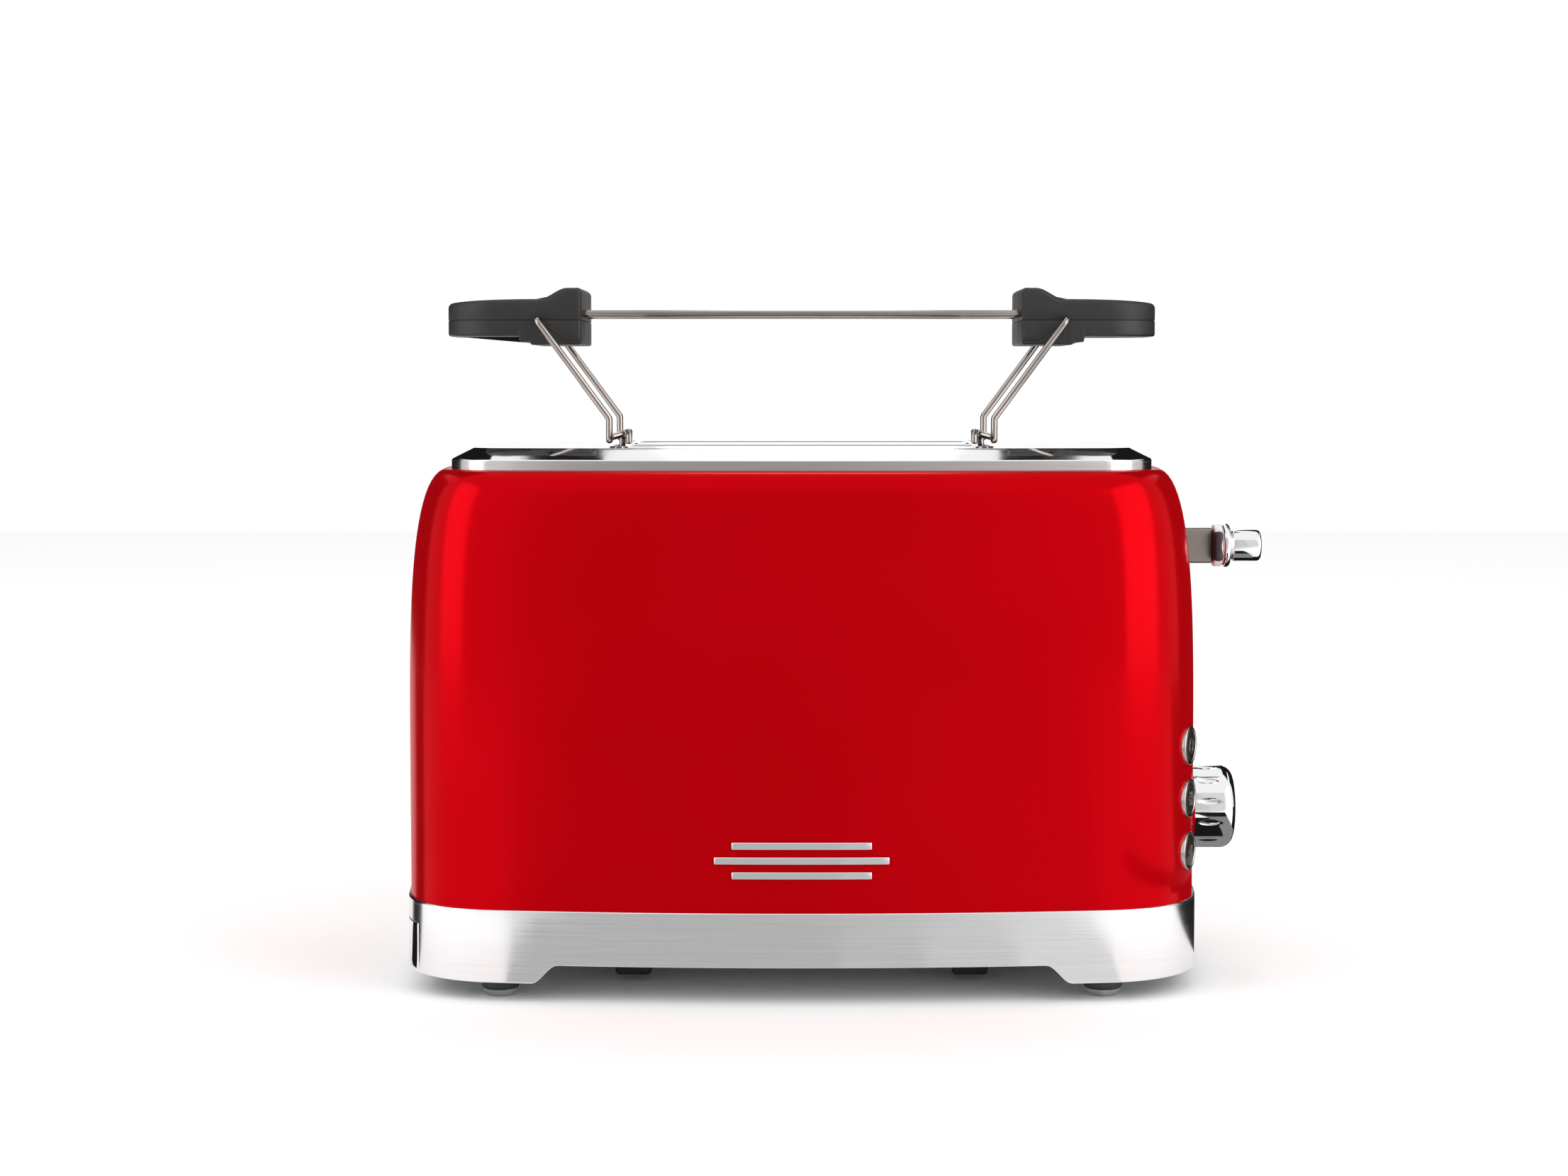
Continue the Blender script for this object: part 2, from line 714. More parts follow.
ring = draw_wall("base_ring_drawn", [ring_loop(*spot) for spot in section], "joined")
pull_low, pull_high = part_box("tray_pull")
pull_gap = 0.5 * MM
pull_tool = block(
    "pull_tool",
    (pull_low.x - 9 * MM, pull_low.y - pull_gap, ring_bottom - 5 * MM),
    (pull_high.x + pull_gap, pull_high.y + pull_gap, pull_high.z + pull_gap),
)
soften(pull_tool, 0.8 * MM)
cut(ring, pull_tool)
gland_low, gland_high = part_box("cord_gland")
gland_spot = (gland_low + gland_high) / 2
TO_BACK = Vector((0, 1, 0))
gland_r = 6 * MM
cut(ring, turned("hole", [(gland_r, -12 * MM), (gland_r, 12 * MM)], pointing(gland_spot, TO_BACK), 48))
settle(ring, "chassis", SATIN, "satin_ring", "base_ring", angle=38)

# %% [markdown]
# ## The tray's pull
# The crumb tray ends in a pull that fills the gap in the ring. It has the ring's own bulge,
# so it starts as the same plan and is cut down to a block. A slope under it lets a fingertip
# in.

# %% Pull
pull = draw_wall(
    "tray_pull_drawn", [outline(0, pull_low.z), outline(0, pull_high.z)], "capped"
)
keep_low = pull_low - Vector((5 * MM, 0, MM))
cut(pull, block("keep", keep_low, pull_high + Vector((0, 0, MM))), "INTERSECT")
scoop_run = 4 * MM
scoop_h = 10.4 * MM
scoop = block(
    "scoop",
    (pull_low.x - 20 * MM, pull_low.y - MM, pull_low.z - 20 * MM),
    (pull_low.x, pull_high.y + MM, pull_low.z),
)
scoop_place = Matrix.Translation((pull_low.x, 0, pull_low.z + scoop_h))
scoop_tilt = Matrix.Rotation(-atan2(scoop_run, scoop_h), 4, "Y")
scoop.data.transform(scoop_place @ scoop_tilt @ Matrix.Translation((-pull_low.x, 0, -pull_low.z)))
cut(pull, scoop)
soften(pull, 0.5 * MM, 3, 30)
settle(pull, "tray", CHROME, "polished_chrome", "tray_pull", angle=30)

# %% [markdown]
# ## The top plate
# The plate is pressed from one sheet: an upright brushed band, a polished slope, and a flat
# top with two slots whose edges are rolled up into a lip and hang down as a collar. The
# outside and each slot are drawn as rings, and the flat top and its underside are filled
# between them. A support ring on each side of a bend keeps the flats flat when shaded.

# %% Rings of the plate
plate_low, plate_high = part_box("top_plate")
rim_inset = (plate_low.x - ring_low.x)
rim_h = 3.5 * MM
slope_run = 8 * MM
slope_rise = 4 * MM
plate_t = 1.5 * MM
plate_z = plate_low.z + rim_h + slope_rise
flat_inset = rim_inset + slope_run
support = 1.6 * MM
over = round_corners(
    [
        (rim_inset, plate_low.z),
        (rim_inset, plate_low.z + rim_h),
        (flat_inset, plate_z),
        (flat_inset + support, plate_z),
    ],
    0.7 * MM,
    4,
)
under = round_corners(
    [
        (flat_inset + support, plate_z - plate_t),
        (flat_inset - plate_t / 4, plate_z - plate_t),
        (rim_inset + plate_t, plate_low.z + rim_h - plate_t / 2),
        (rim_inset + plate_t, plate_low.z),
    ],
    0.5 * MM,
    3,
)
plate_rings = [outline(*spot) for spot in list(reversed(over)) + list(reversed(under))]
plate = draw_wall("top_plate_drawn", plate_rings)

# %% Slots of the plate
slot_half_len = 66.2 * MM
slot_half_w = 18 * MM
slot_y = 30.5 * MM
slot_r = 6 * MM
lip_h = plate_high.z - plate_z
collar_t = 0.8 * MM
collar_depth = 6 * MM


def rounded_slot(grow, z, middle_y, steps=8):
    """A rectangle with round corners, grown outwards, round one bread slot."""
    points = []
    for quarter in range(4):
        sx, sy = ((1, 1), (-1, 1), (-1, -1), (1, -1))[quarter]
        for i in range(steps + 1):
            a = pi / 2 * (quarter + i / steps)
            points.append(
                Vector(
                    (
                        body_x + sx * (slot_half_len - slot_r) + (slot_r + grow) * cos(a),
                        middle_y + sy * (slot_half_w - slot_r) + (slot_r + grow) * sin(a),
                        z,
                    )
                )
            )
    return points


lip = round_corners(
    [
        (collar_t + 2 * support, plate_z),
        (collar_t + 0.9 * MM, plate_z),
        (collar_t + 0.1 * MM, plate_z + lip_h),
        (0, plate_z + lip_h),
        (0, plate_z - collar_depth),
        (collar_t, plate_z - collar_depth),
        (collar_t, plate_z - plate_t),
        (collar_t + 2 * support, plate_z - plate_t),
    ],
    0.38 * MM,
    4,
)
slots = [
    draw_wall("slot", [rounded_slot(grow, z, y) for grow, z in lip]) for y in (-slot_y, slot_y)
]
plate = join("top_plate_drawn", [plate] + slots)
work_on(plate)
bpy.ops.object.mode_set(mode="EDIT")
for level in (plate_z, plate_z - plate_t):
    bpy.ops.mesh.select_all(action="DESELECT")
    plate_mesh = bmesh.from_edit_mesh(plate.data)
    for edge in plate_mesh.edges:
        at_level = all(abs(v.co.z - level) < 0.01 * MM for v in edge.verts)
        if edge.is_boundary and at_level:
            edge.select_set(True)
    bpy.ops.mesh.fill(use_beauty=True)
bpy.ops.mesh.select_all(action="SELECT")
bpy.ops.mesh.remove_doubles(threshold=0.001 * MM)
bpy.ops.mesh.normals_make_consistent(inside=False)
settle(plate, "chassis", CHROME, "polished_chrome", "top_plate", angle=24)
band_top = plate_low.z + rim_h - 0.3 * MM
plate.data.materials.append(RIM_BAND)
for face in plate.data.polygons:
    if abs(face.normal.z) < 0.2 and face.center.z < band_top:
        face.material_index = 1
print("plate has", len(plate.data.polygons), "faces, two finishes")

# %% [markdown]
# ## The lever
# The flat arm comes straight out of the slot. At its end sit a pale plastic collar, a dark
# moulded sleeve round the arm, a polished flange with a rolled edge and, behind a short
# neck, the round-ended knob. The turned parts are profiles carried round the arm's axis.

# %% Lever
collar_low, collar_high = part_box("lever_collar")
flange_low, flange_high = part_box("lever_flange")
knob_low, knob_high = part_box("lever_knob")
lever_z = (arm_low.z + arm_high.z) / 2
lever_place = pointing(Vector((0, 0, lever_z)), TO_RIGHT)

arm = block("lever_arm_drawn", arm_low, arm_high)
soften(arm, 0.9 * MM, 4)
settle(arm, "carriage", LEVER_STEEL, "brushed_lever", "lever_arm")

collar_r = (collar_high.z - collar_low.z) / 2
collar_profile = round_corners(
    [
        (arm_high.y, collar_low.x),
        (collar_r, collar_low.x),
        (collar_r, collar_high.x),
        (arm_high.y, collar_high.x),
    ],
    0.5 * MM,
)
collar = turned("lever_collar_drawn", collar_profile, lever_place)
settle(collar, "carriage", PALE, "grey_plastic", "lever_collar")

sleeve_reach = collar_r + 0.15 * MM
sleeve_h = 10.8 * MM
sleeve = block(
    "lever_sleeve",
    (collar_low.x - 0.4 * MM, -sleeve_reach, lever_z - sleeve_h / 2),
    (collar_high.x - 0.1 * MM, sleeve_reach, lever_z + sleeve_h / 2),
)
soften(sleeve, 1.1 * MM, 4)
settle(sleeve, "carriage", BLACK, "black_plastic")

flange_r = (flange_high.z - flange_low.z) / 2
flange_profile = round_corners(
    [
        (arm_high.y, flange_low.x),
        (flange_r, flange_low.x),
        (flange_r, flange_high.x),
        (arm_high.y, flange_high.x),
    ],
    1.2 * MM,
    6,
)
flange = turned("lever_flange_drawn", flange_profile, lever_place, 72)
settle(flange, "carriage", CHROME, "polished_chrome", "lever_flange")

knob_r = (knob_high.z - knob_low.z) / 2
neck_r = knob_r - 0.9 * MM
knob_profile = round_corners(
    [
        (neck_r, knob_low.x),
        (neck_r, knob_low.x + 0.7 * MM),
        (knob_r, knob_low.x + 1.0 * MM),
        (knob_r, knob_high.x - 0.35 * MM),
        (knob_r - 2.6 * MM, knob_high.x),
        (0.4 * MM, knob_high.x),
    ],
    2.4 * MM,
    7,
)
knob = turned("lever_knob_drawn", knob_profile, lever_place, 72)
settle(knob, "carriage", CHROME, "polished_chrome", "lever_knob")

# %% [markdown]
# ## The browning dial
# A cast and polished knob: a plain band against the shell, a groove, and a deep round
# shoulder. Twelve long dimples for the fingertips are cut with stretched balls.

# %% Dial
dial_r = (dial_high.z - dial_low.z) / 2
dial_back, dial_face = dial_low.x, dial_high.x
dial_profile = round_corners(
    [
        (shaft_r, dial_back + 0.6 * MM),
        (dial_r - 1.6 * MM, dial_back + 0.6 * MM),
        (dial_r - 1.6 * MM, dial_back),
        (dial_r - 0.5 * MM, dial_back),
        (dial_r - 0.3 * MM, dial_back + 1.5 * MM),
    ],
    0.3 * MM,
) + round_corners(
    [
        (dial_r, dial_back + 1.9 * MM),
        (dial_r, dial_face),
        (0.5 * MM, dial_face),
    ],
    4.6 * MM,
    12,
)
dial = turned(
    "dial_knob_drawn", dial_profile, pointing(Vector((0, 0, dial_z)), TO_RIGHT), 144
)
flute_count = 12
flute_size = Vector((4.4 * MM, 1.5 * MM, 0.9 * MM))
flutes = []
for i in range(flute_count):
    let_go()
    bpy.ops.mesh.primitive_uv_sphere_add(segments=32, ring_count=16, radius=1)
    flute = bpy.context.object
    turn = Matrix.Rotation(2 * pi * (i + 0.5) / flute_count, 4, "X")
    out = Matrix.Translation((dial_back + 7.2 * MM, 0, dial_r + 0.45 * MM))
    flute.data.transform(
        Matrix.Translation((0, 0, dial_z)) @ turn @ out @ Matrix.Diagonal((*flute_size, 1))
    )
    flutes.append(flute)
cut(dial, join("flutes", flutes))
settle(dial, "dial", CHROME, "polished_chrome", "dial_knob", angle=30)

# %% [markdown]
# ## The buttons
# Each button is a smoked cap, slightly domed, in a bright turned rim that stands proud of
# the shell. The signs on the caps are thin inlaid metal: a bun for reheating, a crystal for
# frozen bread and the usual triangle over a bar for stopping. They lie in the button's own
# plane, so they are drawn flat and carried there by the button's place.

# %% Rims and caps
rim_wall = 1.1 * MM
cap_gap = 0.3 * MM
cap_r = rim_r - rim_wall - cap_gap
cap_out = 1.0 * MM
cap_len = 7 * MM
rims = []
for button_name in button_names:
    place = button_place(button_name)
    rim_profile = round_corners(
        [
            (rim_r - rim_wall, -3 * MM),
            (rim_r, -3 * MM),
            (rim_r, 0.8 * MM),
            (rim_r - rim_wall, 0.8 * MM),
            (rim_r - rim_wall, -3 * MM),
        ],
        0.45 * MM,
    )[:-1]
    rims.append(turned("rim", rim_profile, place, 72, "joined"))
    cap_profile = round_corners(
        [
            (2 * MM, -9.5 * MM),
            (2 * MM, cap_out - cap_len),
            (cap_r, cap_out - cap_len),
            (cap_r, cap_out - 0.25 * MM),
            (0.3 * MM, cap_out),
        ],
        0.35 * MM,
    )
    cap = turned(button_name + "_cap", cap_profile, place, 64)
    settle(cap, button_name, BUTTON, "smoked_button", button_name + "_button", angle=40)
settle(join("button_rims_drawn", rims), "chassis", RIM_BAND, "polished_chrome", "button_rims")


# %% Signs on the caps
def sign(name, strokes, width):
    """A thin inlaid sign: each stroke is a run of points in the button's plane."""
    parts = []
    for stroke in strokes:
        for start, end in zip(stroke, stroke[1:]):
            start, end = Vector(start) * MM, Vector(end) * MM
            length = (end - start).length
            part = block("stroke", (0, -width / 2, -0.3 * MM), (length + width / 2, width / 2, 0))
            way = (end - start).to_3d().normalized()
            across_way = Vector((-way.y, way.x, 0))
            turn = Matrix((way, across_way, Vector((0, 0, 1)))).transposed().to_4x4()
            part.data.transform(Matrix.Translation(start.to_3d() - way * width / 4) @ turn)
            parts.append(part)
    made = join(name + "_sign", parts)
    upright = Matrix.Rotation(pi / 2, 4, "Z")
    on_cap = Matrix.Translation((0, 0, cap_out + 0.02 * MM))
    made.data.transform(button_place(name) @ upright @ on_cap)
    return settle(made, name, ICON, "polished_chrome")


def sign_ring(radius, flatten, count=20, start=0.0, end=2 * pi):
    """Points on a flattened circle, in millimetres."""
    angles = [start + (end - start) * i / count for i in range(count + 1)]
    return [(radius * cos(a), flatten * radius * sin(a)) for a in angles]


arms = []
for i in range(6):
    a = pi / 3 * i + pi / 6
    for reach, spread in ((2.6, 0.0), (1.9, 0.42), (1.9, -0.42)):
        foot = 0.0 if spread == 0 else 1.25
        arms.append([(foot * cos(a), foot * sin(a)), (reach * cos(a + spread), reach * sin(a + spread))])
bun = [sign_ring(1.5, 1.1, 14, start + 0.5, start + pi - 0.5) for start in (0, pi)]
sign("reheat", [sign_ring(2.5, 1)] + bun, 0.32 * MM)
sign("defrost", arms, 0.34 * MM)
fill = [[(-1.9 + 0.26 * k, -0.55 + 0.4 * k), (1.9 - 0.26 * k, -0.55 + 0.4 * k)] for k in range(7)]
sign("cancel", fill + [[(-1.9, -1.6), (1.9, -1.6)], [(-1.9, -1.9), (1.9, -1.9)]], 0.42 * MM)

# %% [markdown]
# ## Trim, feet and gland
# Three slim lines trim the front, low and in the middle. They follow the bulge of the
# shell, so each block is sliced many times along its length and every vertex is moved on to
# the arc. The feet, pads and cord gland are turned; the cord pegs are blocks that taper.

# %% Trim lines
badge_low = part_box("front_badge")[0]
line_pitch = 5.1 * MM
line_h = 2.6 * MM
line_half = 30 * MM
line_step = 6 * MM
line_t = 1.0 * MM
badge_z = badge_low.z + line_pitch + line_h / 2
wall_r = side_r - ring_proud
lines = []
for i in (-1, 0, 1):
    half = line_half - abs(i) * line_step
    middle_z = badge_z + i * line_pitch
    line = block(
        "line",
        (body_x - half, -line_t, middle_z - line_h / 2),
        (body_x + half, 0, middle_z + line_h / 2),
    )
    work_on(line)
    bpy.ops.object.mode_set(mode="EDIT")
    for x in steps_between(body_x - half, body_x + half, 3 * MM)[1:]:
        bpy.ops.mesh.select_all(action="SELECT")
        bpy.ops.mesh.bisect(plane_co=(x, 0, 0), plane_no=(1, 0, 0))
    bpy.ops.object.mode_set(mode="OBJECT")
    soften(line, 0.45 * MM, 3)
    for vertex in line.data.vertices:
        x, y = vertex.co.x - body_x, vertex.co.y
        swing = asin(x / wall_r)
        vertex.co.x = body_x + (wall_r - y) * sin(swing)
        vertex.co.y = -side_c - (wall_r - y) * cos(swing)
    lines.append(line)
settle(join("front_badge_drawn", lines), "chassis", CHROME, "polished_chrome", "front_badge", angle=40)

# %% Feet and pads
boss_low, boss_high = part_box("foot_bosses")
pad_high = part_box("foot_pads")[1]
boss_r = 7.3 * MM
pad_r = 6.25 * MM
foot_x = (boss_high.x - boss_low.x) / 2 - boss_r
foot_y = (boss_high.y - boss_low.y) / 2 - boss_r
TO_TOP = Vector((0, 0, 1))
boss_profile = round_corners(
    [(0.5 * MM, boss_low.z), (boss_r - 0.7 * MM, boss_low.z), (boss_r, boss_high.z), (0.5 * MM, boss_high.z)],
    1.1 * MM,
    5,
)
pad_profile = round_corners(
    [
        (0.5 * MM, 0),
        (pad_r - 1.5 * MM, 0),
        (pad_r, pad_high.z * 0.75),
        (pad_r, pad_high.z),
        (0.5 * MM, pad_high.z),
    ],
    1.3 * MM,
    5,
)
bosses, pads = [], []
for x in (-foot_x, foot_x):
    for y in (-foot_y, foot_y):
        place = pointing(Vector((body_x + x, y, 0)), TO_TOP)
        bosses.append(turned("boss", boss_profile, place, 48))
        pads.append(turned("pad", pad_profile, place, 48))
settle(join("foot_bosses_drawn", bosses), "chassis", BLACK, "black_plastic", "foot_bosses", angle=40)
settle(join("foot_pads_drawn", pads), "chassis", RUBBER, "grey_rubber", "foot_pads", angle=40)

# %% Cord pegs and gland
peg_low, peg_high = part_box("cord_pegs")
peg_w = 16.5 * MM
peg_t = 7 * MM
pegs = []
for x in (peg_low.x, peg_high.x - peg_w):
    for y in (peg_low.y, peg_high.y - peg_t):
        peg = block("peg", (x, y, peg_low.z), (x + peg_w, y + peg_t, peg_high.z))
        for vertex in peg.data.vertices:
            if vertex.co.z < peg_low.z + MM:
                vertex.co.x += (x + peg_w / 2 - vertex.co.x) * 0.25
                vertex.co.y += (y + peg_t / 2 - vertex.co.y) * 0.15
        pegs.append(soften(peg, 1.2 * MM, 4))
settle(join("cord_pegs_drawn", pegs), "chassis", BLACK, "black_plastic", "cord_pegs")

bore_r = 3.6 * MM
gland_len = gland_high.y - gland_low.y
gland_profile = round_corners(
    [
        (bore_r, -gland_len / 2),
        (gland_r, -gland_len / 2),
        (gland_r, -gland_len / 2 + 5 * MM),
        (gland_r + 1.5 * MM, -gland_len / 2 + 5 * MM),
        (gland_r + 1.5 * MM, -gland_len / 2 + 7 * MM),
        (gland_r, -gland_len / 2 + 7 * MM),
        (gland_r, gland_len / 2),
        (bore_r, gland_len / 2),
        (bore_r, -gland_len / 2),
    ],
    0.5 * MM,
)[:-1]
gland = turned("cord_gland_drawn", gland_profile, pointing(gland_spot, TO_BACK), 56, "joined")
settle(gland, "chassis", BLACK, "black_plastic", "cord_gland", angle=40)

# %% [markdown]
# ## The return springs
# Two coil springs pull the carriage up. Each is a helix of round wire with a closed turn at
# both ends. The upper end stays with the chassis and the lower end goes down with the
# carriage, so the piece is blended between the two bodies.

# %% Springs
spring_low, spring_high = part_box("return_springs")
spring_r = 3.55 * MM
spring_wire = 0.45 * MM
spring_turns = 11
per_turn = 18
spring_x = (spring_low.x + spring_high.x) / 2
spring_y = spring_high.y - spring_r - spring_wire
open_height = spring_high.z - spring_low.z - 6 * spring_wire
coils = []
for y in (-spring_y, spring_y):
    path = []
    for i in range(spring_turns * per_turn + 1):
        turn = i / per_turn
        a = 2 * pi * turn
        climb = min(1, max(0, (turn - 1) / (spring_turns - 2)))
        closed = min(turn, 1) + max(0, turn - spring_turns + 1)
        z = spring_low.z + spring_wire + 2 * spring_wire * closed + open_height * climb
        path.append((spring_x + spring_r * cos(a), y + spring_r * sin(a), z))
    coils.append(draw_wall("coil", wire_rings(path, spring_wire, 8), "capped"))
springs = join("return_spring_coils", coils)
work_on(springs)
bpy.ops.object.shade_smooth()
springs.data.materials.append(WIRE_STEEL)
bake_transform(springs)
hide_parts("return_springs")
print("springs:", len(springs.data.polygons), "faces")

# %% [markdown]
# ## The bun rack
# The rack lifts off. Five straight wires join two black grips, and under each grip a bent
# wire makes the legs: it runs through the grip, comes out at both sides, slopes down to an
# elbow, stands on the plate and ends in a prong that drops into the slot. A grip is two
# moulded halves. Each half is a stack of rings of the grip's plan, whose height follows the
# long hump of the top or the stepped block underneath.

# %% Plan of a grip
grip_low, grip_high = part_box("grip_top_right")
base_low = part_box("grip_base_right")[0]
seam_z = grip_low.z
grip_in = grip_low.x
grip_out = grip_high.x
grip_half = grip_high.y
grip_r = 18 * MM
inner_r = 1.2 * MM
hump_len = 4.8 * MM
hump_run = 10.5 * MM
hump_up = grip_high.z - seam_z
grip_up = 7.5 * MM
end_up = 6.3 * MM
block_len = 22 * MM
block_step = 4 * MM
block_down = seam_z - base_low.z
grip_down = 5.7 * MM
hinge_x = grip_in + 15.6 * MM
wire_r = 1.2 * MM


def grip_plan(inset):
    """Points round a grip's plan, the front half first and the back half its mirror image."""
    half = []
    for i in range(5):
        a = pi + pi / 2 * i / 4
        reach = inner_r - inset
        half.append((grip_in + inner_r + reach * cos(a), -grip_half + inner_r + reach * sin(a)))
    stops = steps_between(grip_in + inner_r + 0.4 * MM, grip_in + hump_len + hump_run, 0.7 * MM)
    stops += steps_between(grip_in + hump_len + hump_run, grip_in + block_len + 2 * MM, 0.5 * MM)
    stops += steps_between(grip_in + block_len + 2 * MM, grip_out - grip_r, 2 * MM)
    half += [(x, -grip_half + inset) for x in stops]
    for i in range(17):
        a = -pi / 2 + pi / 2 * i / 16
        reach = grip_r - inset
        half.append((grip_out - grip_r + reach * cos(a), -grip_half + grip_r + reach * sin(a)))
    half.append((grip_out - inset, 0))
    return half + [(x, -y) for x, y in reversed(half[:-1])] + [(grip_in + inset, 0)]


def top_at(x):
    """Height of a grip's top above the seam."""
    run = (x - grip_in - hump_len) / hump_run
    if run <= 0:
        return hump_up
    if run < 1:
        return grip_up + (hump_up - grip_up) * (1 + cos(pi * run)) / 2
    share = (x - grip_in - hump_len - hump_run) / (grip_out - grip_in - hump_len - hump_run)
    return grip_up - (grip_up - end_up) * share**2


def under_at(x):
    """Depth of a grip's underside below the seam."""
    if x < grip_in + block_len - block_step:
        return -block_down
    return 1 * MM - block_down if x < grip_in + block_len else -grip_down


def moulded_half(name, far_at, seam_gap, edge, steps=5):
    """Half a grip: rings from the seam to a rounded edge, then in to the middle line."""
    up = 1 if far_at is top_at else -1
    seam_edge = 0.35 * MM
    levels = [(seam_edge, 0, 0), (0.1 * MM, 0.1 * MM, 0), (0, seam_edge, 0)]
    for i in range(steps + 1):
        a = pi / 2 * i / steps
        levels.append((edge * (1 - cos(a)), edge * (sin(a) - 1), 1))
    rings = [[Vector((x, y * 0.001, seam_z + up * seam_gap)) for x, y in grip_plan(seam_edge)]]
    for inset, rise, far in levels:
        ring = []
        for (x, y), (wall_x, _) in zip(grip_plan(inset), grip_plan(0)):
            reach = far_at(wall_x) if far else up * seam_gap
            ring.append(Vector((x, y, seam_z + reach + up * rise)))
        rings.append(ring)
    for share in (0.6, 0.0001):
        rings.append([Vector((p.x, p.y * share, p.z)) for p in rings[len(levels)]])
    return draw_wall(name, rings, "capped")


MIRROR = Matrix.Translation((2 * body_x, 0, 0)) @ Matrix.Diagonal((-1, 1, 1, 1))
top_half = moulded_half("grip_top_right_drawn", top_at, 0.0, 1.9 * MM)
base_half = moulded_half("grip_base_right_drawn", under_at, 0.0, 0.9 * MM, 4)
rib = draw_wall(
    "rib",
    wire_rings(
        round_corners(
            [
                (grip_in + 11.5 * MM, -grip_half, seam_z - 2.2 * MM),
                (grip_in + 5.5 * MM, -grip_half, seam_z - 6.6 * MM),
                (grip_in + 0.8 * MM, -grip_half, seam_z - 6.9 * MM),
            ],
            1.5 * MM,
        ),
        0.5 * MM,
        8,
    ),
    "capped",
)
back_rib = copy_of(rib, "back_rib", Matrix.Diagonal((1, -1, 1, 1)))
base_half = join("grip_base_right_drawn", [base_half, rib, back_rib])
for half, node in ((top_half, "grip_top"), (base_half, "grip_base")):
    twin = copy_of(half, node + "_left_drawn", MIRROR)
    settle(half, "rack", GRIP, "textured_grip", node + "_right", angle=40)
    settle(twin, "rack", GRIP, "textured_grip", node + "_left", angle=40)

# %% [markdown]
# The wires are drawn steel rod. Every bend has a radius a little over the wire's diameter,
# as a bending machine leaves it, and a wire stands in its socket without a visible gap.

# %% Wires and legs
wires_low, wires_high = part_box("rack_wires")
wire_count = 5
wire_z = (wires_low.z + wires_high.z) / 2
rods = []
for i in range(wire_count):
    share = i / (wire_count - 1)
    y = (wires_low.y + wire_r) * (1 - share) + (wires_high.y - wire_r) * share
    path = [(wires_low.x + MM, y, wire_z), (wires_high.x - MM, y, wire_z)]
    rods.append(draw_wall("rod", wire_rings(path, wire_r, 20), "capped"))
settle(join("rack_wires_drawn", rods), "rack", WIRE_STEEL, "rack_wire_steel", "rack_wires", angle=50)

leg_low, leg_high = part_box("rack_leg_right")
leg_y = leg_high.y - wire_r
leg_x = body_x + 68.5 * MM
prong_x = leg_low.x + wire_r
foot_on = plate_z + 0.3 * MM + wire_r
elbow_z = plate_z + 10 * MM


def leg_path(side):
    """Half of a leg, from the middle of the grip down to the prong."""
    return [
        Vector((hinge_x, side * leg_y, seam_z)),
        Vector((leg_x, side * leg_y, elbow_z)),
        Vector((leg_x, side * leg_y, foot_on)),
        Vector((leg_x, side * (leg_y - 4 * MM), foot_on + 1.6 * MM)),
        Vector((prong_x, side * (leg_y - 7 * MM), foot_on + 2.8 * MM)),
        Vector((prong_x, side * (leg_y - 11 * MM), foot_on + 2.8 * MM)),
        Vector((prong_x, side * (leg_y - 11 * MM), leg_low.z + 0.05 * MM)),
    ]


leg = draw_wall(
    "rack_leg_right_drawn",
    wire_rings(round_corners(list(reversed(leg_path(-1))) + leg_path(1), 2.2 * MM, 6), wire_r, 16),
    "capped",
)
other_leg = copy_of(leg, "rack_leg_left_drawn", MIRROR)
settle(leg, "leg_right", WIRE_STEEL, "rack_wire_steel", "rack_leg_right", angle=50)
settle(other_leg, "leg_left", WIRE_STEEL, "rack_wire_steel", "rack_leg_left", angle=50)

# %% [markdown]
# ## Camera, light and floor
# The camera stands a metre in front, a little above the rack's feet, with a long lens and a
# slight downward tilt. The floor is pale and plain. Two tall soft lights stand at the front
# corners and a broad one hangs above. Polished metal shows what stands around it, so black
# and grey cards lie and stand where a studio has its dark corners: four grey fans in front,
# a black and a grey strip at the lever's end, black floor to the right and left, and black
# walls and sky behind. They are seen only in reflections.

# %% Camera
cam_data = bpy.data.cameras.new("camera")
cam_data.sensor_width = 36
cam_data.lens = 66.3
cam_data.shift_x = -0.0113
cam_data.clip_start = 0.01
camera = bpy.data.objects.new("camera", cam_data)
bpy.context.scene.collection.objects.link(camera)
camera.location = (body_x, -1060 * MM, 214 * MM)
camera.rotation_euler = (radians(90 - 4.14), 0, 0)
bpy.context.scene.camera = camera

# %% World and floor
world = bpy.data.worlds.new("studio")
bpy.context.scene.world = world
world.use_nodes = True
world.node_tree.nodes["Background"].inputs["Color"].default_value = (1.0, 1.0, 1.0, 1)
world.node_tree.nodes["Background"].inputs["Strength"].default_value = 1.0
bpy.context.scene.view_settings.view_transform = "Standard"

let_go()
bpy.ops.mesh.primitive_plane_add(size=6)
floor = bpy.context.object
floor.name = "floor"
floor_finish = new_finish("floor_white", (0.94, 0.94, 0.94), 0.0, 0.6)
floor_finish.node_tree.nodes["Principled BSDF"].inputs["Specular IOR Level"].default_value = 0.0
drive_roughness(floor_finish, grain(floor_finish, 8), 0.55, 0.65)
floor.data.materials.append(floor_finish)


# %% Lights and cards
def look_at(thing, target):
    thing.rotation_euler = (Vector(target) - thing.location).to_track_quat("-Z", "Y").to_euler()


def soft_light(name, azimuth, distance, height, size, power):
    """An area light that faces the toaster; azimuth 0 is the camera's side, 90 the lever's."""
    lamp = bpy.data.lights.new(name, "AREA")
    lamp.shape = "RECTANGLE"
    lamp.size, lamp.size_y = size
    lamp.energy = power
    thing = bpy.data.objects.new(name, lamp)
    bpy.context.scene.collection.objects.link(thing)
    a = radians(azimuth)
    thing.location = (distance * sin(a), -distance * cos(a), height)
    look_at(thing, (0, 0, 0.12))
    thing.visible_camera = False
    return thing


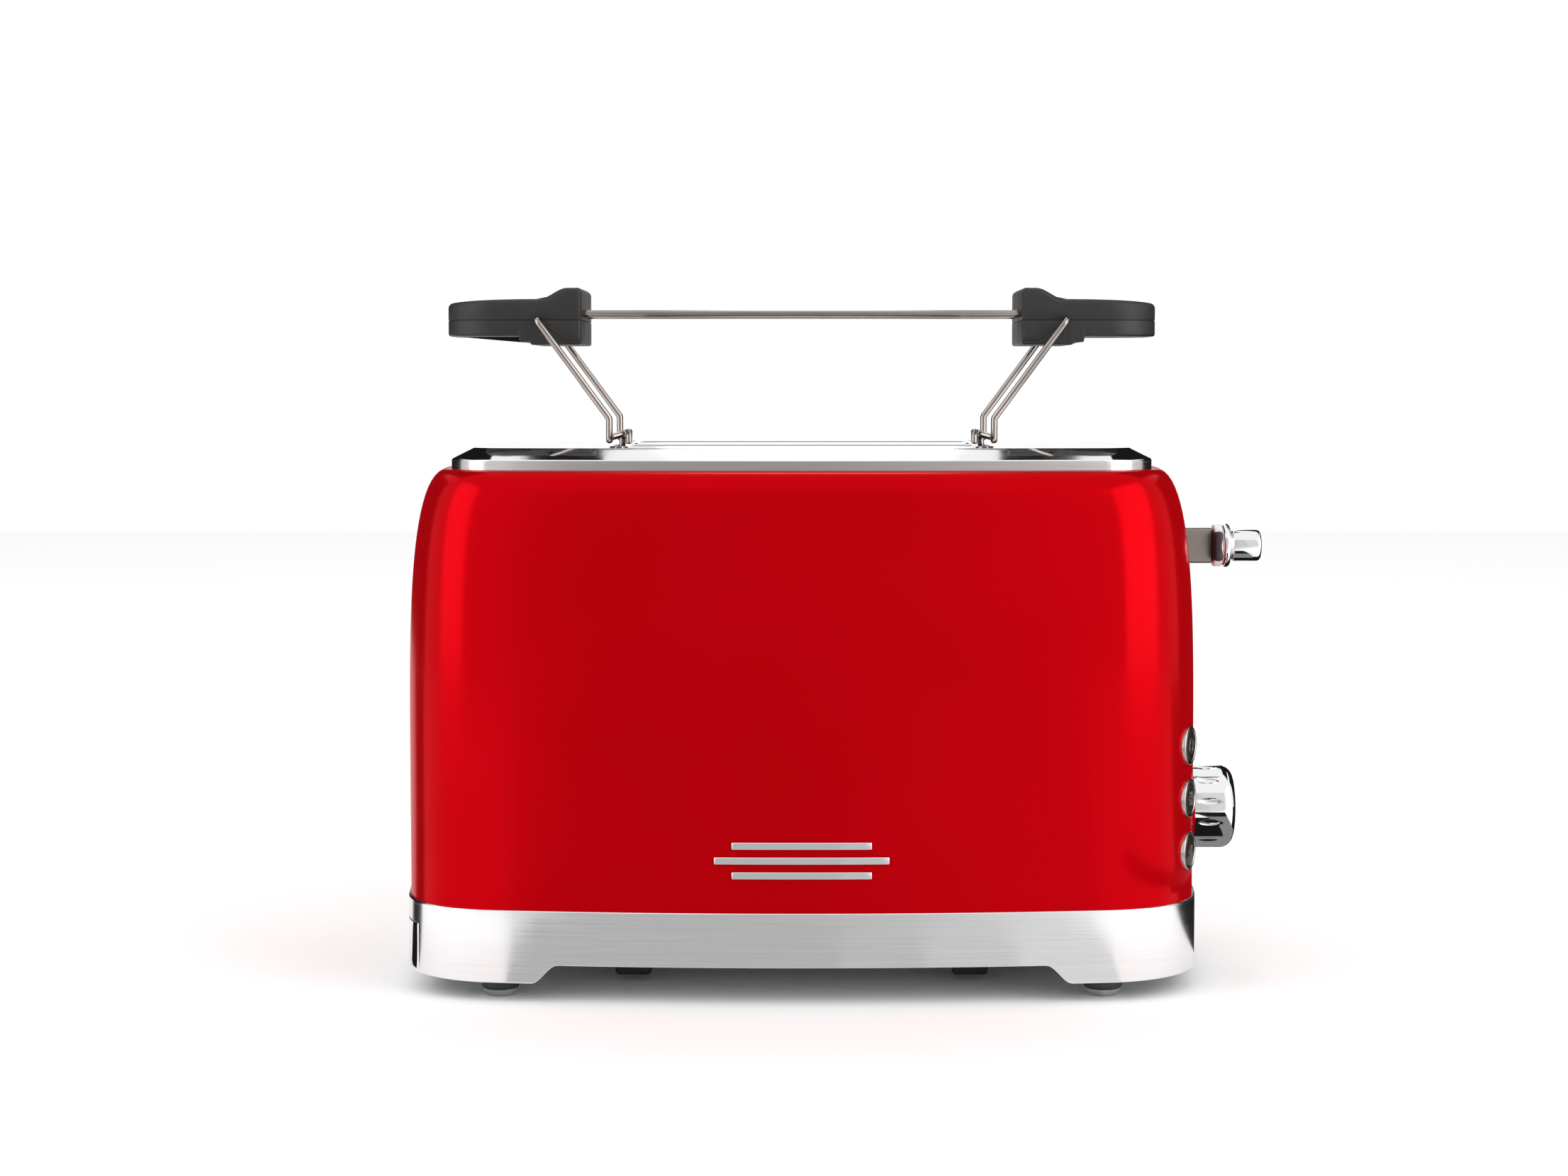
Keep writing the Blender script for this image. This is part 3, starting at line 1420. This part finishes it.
def card(name, grey, corners):
    """A four-cornered sheet of one even grey, seen only in glossy reflections."""
    let_go()
    bpy.ops.mesh.primitive_plane_add(size=1)
    thing = bpy.context.object
    thing.name = name
    for corner, place in zip((0, 1, 3, 2), corners):
        thing.data.vertices[corner].co = place
    finish = bpy.data.materials.new(name)
    finish.use_nodes = True
    nodes = finish.node_tree.nodes
    nodes.remove(nodes["Principled BSDF"])
    glow = nodes.new("ShaderNodeEmission")
    glow.inputs["Color"].default_value = (grey, grey, grey, 1)
    finish.node_tree.links.new(glow.outputs["Emission"], nodes["Material Output"].inputs["Surface"])
    thing.data.materials.append(finish)
    for ray in ("camera", "diffuse", "transmission", "volume_scatter", "shadow"):
        setattr(thing, "visible_" + ray, False)
    return thing


soft_light("right_light", 56, 1.5, 0.7, (1.2, 1.5), 11)
soft_light("left_light", -68, 1.6, 0.7, (0.9, 1.5), 7)
soft_light("top_light", 180, 1.16, 1.85, (0.4, 0.8), 3)
low = 1 * MM
black = 0.01
strip_grey = 0.25
front_y = -2.1
toaster_y = -0.09
back_y = 1.95
sky_z = 1.8
greys = (0.5, 0.56, 0.64, 0.76)
near_xs = (-0.12, 0.0, 0.03, 0.065, 0.105)
far_xs = (-0.78, 0.1, 0.3, 0.5, 0.75)
for grey, near, near_next, far, far_next in zip(greys, near_xs, near_xs[1:], far_xs, far_xs[1:]):
    fan = ((far, front_y), (far_next, front_y), (near_next, toaster_y), (near, toaster_y))
    card("grey_floor", grey, [(x, y, low) for x, y in fan])
    card("grey_front", grey, ((far, front_y, 0), (far_next, front_y, 0), (far_next, -1.9, 2), (far, -1.9, 2)))
strip_z = ring_top + 1 * MM
edges = (ring_high.x + 1 * MM, knob_low.x, knob_high.x + 20 * MM)
strip_ys = ((-0.063, -0.0127), (-0.16, -0.07))
for start, end, (front, back) in zip(edges, edges[1:], strip_ys):
    spots = [(x, y, strip_z) for y in (front, back, 0.02) for x in (start, end)]
    card("black_strip", black, (spots[0], spots[1], spots[3], spots[2]))
    card("grey_strip", strip_grey, (spots[2], spots[3], spots[5], spots[4]))
near = ring_high.x + 4 * MM
card("near_floor", black, ((near, 0.0, low), (0.24, 0.0, low), (0.24, 0.4, low), (near, 0.4, low)))
card("right_floor", black, ((0.24, 0.0, low), (1.3, 0.05, low), (1.4, 1.9, low), (0.2, 1.9, low)))
near = ring_low.x - 10 * MM
card("left_floor", black, ((near, -0.045, low), (near, -0.02, low), (-1.1, 0.9, low), (-1.3, 0.42, low)))
for side in (-1, 1):
    near, far = side * 0.65, side * 1.4
    card("dark_wall", black, ((near, back_y, 0), (far, 0.4, 0), (far, 0.4, 1), (near, back_y, 1)))
    for near_out, far_out, far_y in ((0.275, 0.385, 0.6), (0.58, 1.6, 0.2)):
        near, far = body_x + side * near_out, body_x + side * far_out
        sky = ((near, 0.6), (far, far_y), (far, back_y), (near, back_y))
        card("dark_sky", black, [(x, y, sky_z) for x, y in sky])
    near = side * 0.45
    back_wall = ((near, 0.3), (far, 0.3), (far, sky_z), (near, sky_z))
    card("dark_back", black, [(x, back_y, z) for x, z in back_wall])
print("soft lights:", len(bpy.data.lights), "set among black and grey cards")
